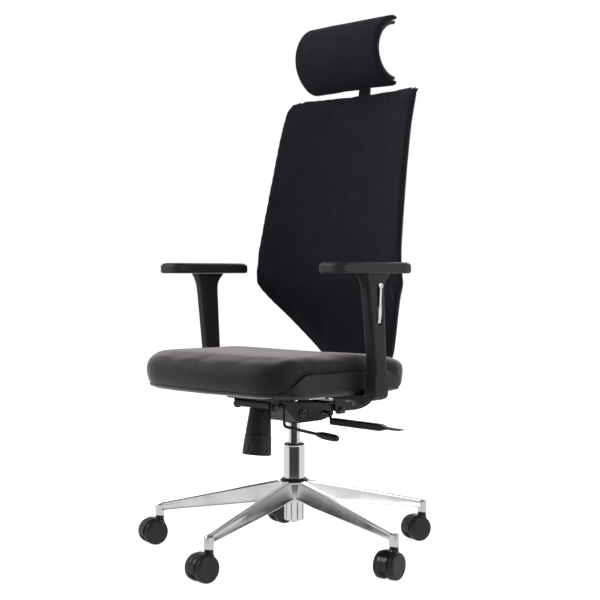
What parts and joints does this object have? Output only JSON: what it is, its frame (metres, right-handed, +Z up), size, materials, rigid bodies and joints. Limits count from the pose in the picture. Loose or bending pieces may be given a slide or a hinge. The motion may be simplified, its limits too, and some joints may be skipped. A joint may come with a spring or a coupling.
{
  "type": "swivel office chair",
  "caption": "High-back swivel office chair with curved headrest, height-adjustable T arms, synchronous tilt, gas lift and a polished star base on twin-wheel casters.",
  "frame": {"origin": "on the floor under the middle of the whole chair's bounding box at rest; the column axis stands at x -0.0203 m, y 0.0263 m", "axes": "+Z up, the sitter faces -Y, +X is the sitter's left"},
  "size_m": [0.6925, 0.7051, 1.268],
  "materials": {
    "polished_aluminium": "polished",
    "chrome": "mirror",
    "black_plastic": "fine satin grain",
    "grey_plastic": "satin",
    "black_steel": "powder coat",
    "bright_steel": "zinc plated",
    "brass": "turned",
    "soft_pad": "soft polyurethane",
    "back_fabric": "fine black weave",
    "seat_fabric": "fine black weave",
    "caster_plastic": "satin"
  },
  "bodies": {
    "base": {"star_base": "polished_aluminium", "hub_ring": "black_plastic", "outer_column_tube": "chrome", "guide_bush": "black_plastic", "thrust_bearing": "bright_steel", "caster_stem_1": "bright_steel", "caster_stem_2": "bright_steel", "caster_stem_3": "bright_steel", "caster_stem_4": "bright_steel", "caster_stem_5": "bright_steel"},
    "lift_rod": {"piston_rod": "chrome"},
    "mechanism": {"gas_cylinder": "chrome", "mechanism_housing": "black_steel", "main_pivot_shaft": "bright_steel", "front_pivot_pin": "bright_steel", "tension_screw": "bright_steel", "tension_spring": "bright_steel"},
    "release_button": {"release_button": "brass"},
    "tension_knob": {"tension_knob": "black_plastic"},
    "height_lever": {"height_lever_rod": "black_steel", "height_lever_grip": "black_plastic"},
    "tilt_lever": {"tilt_lever": "black_plastic"},
    "seat": {"seat_plate": "black_steel", "underpan": "grey_plastic", "seat_cushion": "seat_fabric", "arm_bracket_left": "black_plastic", "arm_bracket_right": "black_plastic"},
    "arm_left": {"arm_sleeve_left": "black_plastic", "arm_pad_left": "soft_pad"},
    "arm_right": {"arm_sleeve_right": "black_plastic", "arm_pad_right": "soft_pad"},
    "toggle_left": {"arm_toggle_left": "chrome"},
    "toggle_right": {"arm_toggle_right": "chrome"},
    "back": {"back_bracket": "black_steel", "back_bar": "black_plastic", "back_shell": "black_plastic", "back_upholstery": "back_fabric"},
    "headrest_slider": {"headrest_stem": "black_plastic"},
    "headrest": {"headrest_shell": "black_plastic", "headrest_pad": "back_fabric"},
    "caster_1": {"caster_housing_1": "caster_plastic", "caster_axle_1": "bright_steel"},
    "wheel_left_1": {"caster_wheel_left_1": "caster_plastic"},
    "wheel_right_1": {"caster_wheel_right_1": "caster_plastic"},
    "caster_2": {"caster_housing_2": "caster_plastic", "caster_axle_2": "bright_steel"},
    "wheel_left_2": {"caster_wheel_left_2": "caster_plastic"},
    "wheel_right_2": {"caster_wheel_right_2": "caster_plastic"},
    "caster_3": {"caster_housing_3": "caster_plastic", "caster_axle_3": "bright_steel"},
    "wheel_left_3": {"caster_wheel_left_3": "caster_plastic"},
    "wheel_right_3": {"caster_wheel_right_3": "caster_plastic"},
    "caster_4": {"caster_housing_4": "caster_plastic", "caster_axle_4": "bright_steel"},
    "wheel_left_4": {"caster_wheel_left_4": "caster_plastic"},
    "wheel_right_4": {"caster_wheel_right_4": "caster_plastic"},
    "caster_5": {"caster_housing_5": "caster_plastic", "caster_axle_5": "bright_steel"},
    "wheel_left_5": {"caster_wheel_left_5": "caster_plastic"},
    "wheel_right_5": {"caster_wheel_right_5": "caster_plastic"}
  },
  "joints": [
    {"name": "seat_swivel", "type": "hinge", "parent": "base", "child": "lift_rod", "pos_m": [-0.0203, 0.0263, 0.08], "axis": [0, 0, 1], "continuous": true},
    {"name": "seat_lift", "type": "slide", "parent": "lift_rod", "child": "mechanism", "axis": [0, 0, 1], "range_m": [-0.035, 0.065]},
    {"name": "height_lever_lift", "type": "hinge", "parent": "mechanism", "child": "height_lever", "pos_m": [0.0337, -0.0777, 0.356], "axis": [0, -1, 0], "range_deg": [0, 4], "stiffness_Nm_per_rad": 2, "springref_deg": -5.73},
    {"name": "release_button_travel", "type": "slide", "parent": "mechanism", "child": "release_button", "axis": [0, 0, -1], "range_m": [0, 0.004]},
    {"name": "tilt_lever_lift", "type": "hinge", "parent": "mechanism", "child": "tilt_lever", "pos_m": [0.0337, 0.0703, 0.328], "axis": [0, -1, 0], "range_deg": [0, 6]},
    {"name": "tension_knob_turn", "type": "hinge", "parent": "mechanism", "child": "tension_knob", "pos_m": [-0.0203, -0.0837, 0.346], "axis": [0, 0.1097, 0.994], "range_deg": [-720, 720]},
    {"name": "back_recline", "type": "hinge", "parent": "mechanism", "child": "back", "pos_m": [-0.0203, -0.0037, 0.332], "axis": [-1, 0, 0], "range_deg": [0, 18], "stiffness_Nm_per_rad": 80, "springref_deg": -22.92},
    {"name": "seat_tilt", "type": "hinge", "parent": "mechanism", "child": "seat", "pos_m": [-0.0203, -0.0987, 0.352], "axis": [-1, 0, 0], "range_deg": [0, 10.3]},
    {"name": "arm_height_left", "type": "slide", "parent": "seat", "child": "arm_left", "axis": [0, 0, 1], "range_m": [0, 0.07]},
    {"name": "arm_height_right", "type": "slide", "parent": "seat", "child": "arm_right", "axis": [0, 0, 1], "range_m": [0, 0.07]},
    {"name": "arm_toggle_left_pull", "type": "hinge", "parent": "arm_left", "child": "toggle_left", "pos_m": [0.2662, 0.0013, 0.628], "axis": [0, -1, 0], "range_deg": [0, 25]},
    {"name": "arm_toggle_right_pull", "type": "hinge", "parent": "arm_right", "child": "toggle_right", "pos_m": [-0.3068, 0.0013, 0.628], "axis": [0, 1, 0], "range_deg": [0, 25]},
    {"name": "headrest_height", "type": "slide", "parent": "back", "child": "headrest_slider", "axis": [0, 0.2, 0.9798], "range_m": [0, 0.06]},
    {"name": "headrest_tilt", "type": "hinge", "parent": "headrest_slider", "child": "headrest", "pos_m": [-0.0203, 0.2543, 1.168], "axis": [-1, 0, 0], "range_deg": [-6, 24]},
    {"name": "caster_swivel_1", "type": "hinge", "parent": "base", "child": "caster_1", "pos_m": [0.05228, -0.30382, 0.055], "axis": [0, 0, 1], "continuous": true},
    {"name": "wheel_spin_left_1", "type": "hinge", "parent": "caster_1", "child": "wheel_left_1", "pos_m": [0.05103, -0.32177, 0.02942], "axis": [0.9976, -0.0698, 0], "continuous": true},
    {"name": "wheel_spin_right_1", "type": "hinge", "parent": "caster_1", "child": "wheel_right_1", "pos_m": [0.05103, -0.32177, 0.02942], "axis": [0.9976, -0.0698, 0], "continuous": true},
    {"name": "caster_swivel_2", "type": "hinge", "parent": "base", "child": "caster_2", "pos_m": [0.31609, -0.00668, 0.055], "axis": [0, 0, 1], "continuous": true},
    {"name": "wheel_spin_left_2", "type": "hinge", "parent": "caster_2", "child": "wheel_left_2", "pos_m": [0.31828, -0.02455, 0.02942], "axis": [0.9925, 0.1219, 0], "continuous": true},
    {"name": "wheel_spin_right_2", "type": "hinge", "parent": "caster_2", "child": "wheel_right_2", "pos_m": [0.31828, -0.02455, 0.02942], "axis": [0.9925, 0.1219, 0], "continuous": true},
    {"name": "caster_swivel_3", "type": "hinge", "parent": "base", "child": "caster_3", "pos_m": [0.11502, 0.33603, 0.055], "axis": [0, 0, 1], "continuous": true},
    {"name": "wheel_spin_left_3", "type": "hinge", "parent": "caster_3", "child": "wheel_left_3", "pos_m": [0.11006, 0.31873, 0.02942], "axis": [0.9613, -0.2756, 0], "continuous": true},
    {"name": "wheel_spin_right_3", "type": "hinge", "parent": "caster_3", "child": "wheel_right_3", "pos_m": [0.11006, 0.31873, 0.02942], "axis": [0.9613, -0.2756, 0], "continuous": true},
    {"name": "caster_swivel_4", "type": "hinge", "parent": "base", "child": "caster_4", "pos_m": [-0.27306, 0.25071, 0.055], "axis": [0, 0, 1], "continuous": true},
    {"name": "wheel_spin_left_4", "type": "hinge", "parent": "caster_4", "child": "wheel_left_4", "pos_m": [-0.27618, 0.23298, 0.02942], "axis": [0.9848, -0.1736, 0], "continuous": true},
    {"name": "wheel_spin_right_4", "type": "hinge", "parent": "caster_4", "child": "wheel_right_4", "pos_m": [-0.27618, 0.23298, 0.02942], "axis": [0.9848, -0.1736, 0], "continuous": true},
    {"name": "caster_swivel_5", "type": "hinge", "parent": "base", "child": "caster_5", "pos_m": [-0.31183, -0.14474, 0.055], "axis": [0, 0, 1], "continuous": true},
    {"name": "wheel_spin_left_5", "type": "hinge", "parent": "caster_5", "child": "wheel_left_5", "pos_m": [-0.31618, -0.1622, 0.02942], "axis": [0.9703, -0.2419, 0], "continuous": true},
    {"name": "wheel_spin_right_5", "type": "hinge", "parent": "caster_5", "child": "wheel_right_5", "pos_m": [-0.31618, -0.1622, 0.02942], "axis": [0.9703, -0.2419, 0], "continuous": true}
  ],
  "couplings": [
    {"joint": "release_button_travel", "follows": "height_lever_lift", "m_per_rad": 0.054},
    {"joint": "seat_tilt", "follows": "back_recline", "ratio": 0.565}
  ]
}
